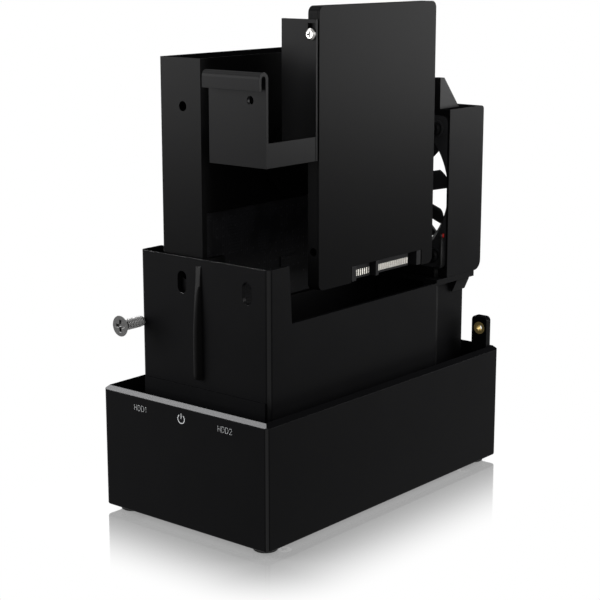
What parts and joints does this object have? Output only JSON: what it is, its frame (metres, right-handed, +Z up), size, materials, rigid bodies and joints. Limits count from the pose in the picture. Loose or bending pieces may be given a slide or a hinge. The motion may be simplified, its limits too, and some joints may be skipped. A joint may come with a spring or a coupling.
{
  "type": "raid drive enclosure",
  "caption": "Black two-bay drive enclosure with its cover off: low base, tall cradle, rear fan housing, a large drive in its bay and a small drive on a tray drawn up.",
  "frame": {"origin": "on the table under the middle of the base housing's footprint", "axes": "+Z up, -Y out of the front with the lights, +X to the right seen from the front"},
  "size_m": [0.0798, 0.1432, 0.1863],
  "materials": {
    "coated_sheet": "satin black coating",
    "black_plastic": "fine satin moulded black",
    "drive_casting": "satin black casting",
    "rubber": "matt",
    "brass": "turned and knurled",
    "steel_screw": "zinc plated",
    "black_screw": "black zinc",
    "circuit_board": "green solder mask",
    "chip": "matt moulding",
    "capacitor": "satin can",
    "gold_contact": "gold plated",
    "bright_steel": "plated",
    "lamp": "clear",
    "ribbon": "grey",
    "copper_coil": "enamelled copper",
    "wire": "satin insulation"
  },
  "bodies": {
    "enclosure": {"base_housing": "coated_sheet", "brass_inserts": "brass", "rubber_feet": "rubber", "bottom_plate": "coated_sheet", "plate_screws": "black_screw", "cradle": "black_plastic", "cradle_screws": "black_screw", "main_board": "circuit_board", "board_standoffs": "brass", "board_screws": "steel_screw", "board_chips": "chip", "board_capacitors": "capacitor", "socket_left": "black_plastic", "socket_right": "black_plastic", "io_panel": "coated_sheet", "usb_shell": "bright_steel", "usb_insert": "black_plastic", "dc_jack": "black_plastic", "dc_pin": "bright_steel", "switch_body": "black_plastic", "raid_body": "bright_steel", "button_body": "black_plastic", "led_board": "circuit_board", "lamp_screws": "steel_screw", "status_leds": "lamp", "led_ribbon": "ribbon", "fan_shroud": "black_plastic", "fan_frame": "black_plastic", "fan_stator": "copper_coil", "fan_screws": "black_screw", "fan_lead": "wire", "loose_screw": "steel_screw"},
    "large_drive": {"hdd_body": "drive_casting", "hdd_lid": "coated_sheet", "hdd_lid_screws": "bright_steel", "hdd_board": "circuit_board", "hdd_plug": "black_plastic", "hdd_contacts": "gold_contact"},
    "drive_on_tray": {"ssd_case": "drive_casting", "ssd_cover": "coated_sheet", "ssd_board": "circuit_board", "ssd_plug": "black_plastic", "ssd_contacts": "gold_contact", "drive_tray": "coated_sheet", "tray_screw": "steel_screw"},
    "fan_wheel": {"fan_rotor": "black_plastic", "fan_shaft": "bright_steel"},
    "rocker": {"power_rocker": "black_plastic"},
    "selector_knob": {"raid_slider": "black_plastic"},
    "set_key": {"set_button": "black_plastic"}
  },
  "joints": [
    {"name": "drive_slide", "type": "slide", "parent": "enclosure", "child": "large_drive", "axis": [0, 0, 1], "range_m": [0, 0.08]},
    {"name": "tray_slide", "type": "slide", "parent": "enclosure", "child": "drive_on_tray", "axis": [0, 0, 1], "range_m": [-0.0644, 0.012]},
    {"name": "fan_spin", "type": "hinge", "parent": "enclosure", "child": "fan_wheel", "pos_m": [0, 0.0518, 0.1124], "axis": [0, 1, 0], "continuous": true},
    {"name": "rocker_tilt", "type": "hinge", "parent": "enclosure", "child": "rocker", "pos_m": [-0.019, 0.0664, 0.0233], "axis": [-1, 0, 0], "range_deg": [0, 20]},
    {"name": "selector_slide", "type": "slide", "parent": "enclosure", "child": "selector_knob", "axis": [1, 0, 0], "range_m": [0, 0.004]},
    {"name": "set_press", "type": "slide", "parent": "enclosure", "child": "set_key", "axis": [0, -1, 0], "range_m": [0, 0.0012], "stiffness_N_per_m": 300, "springref_m": -0.0005}
  ]
}
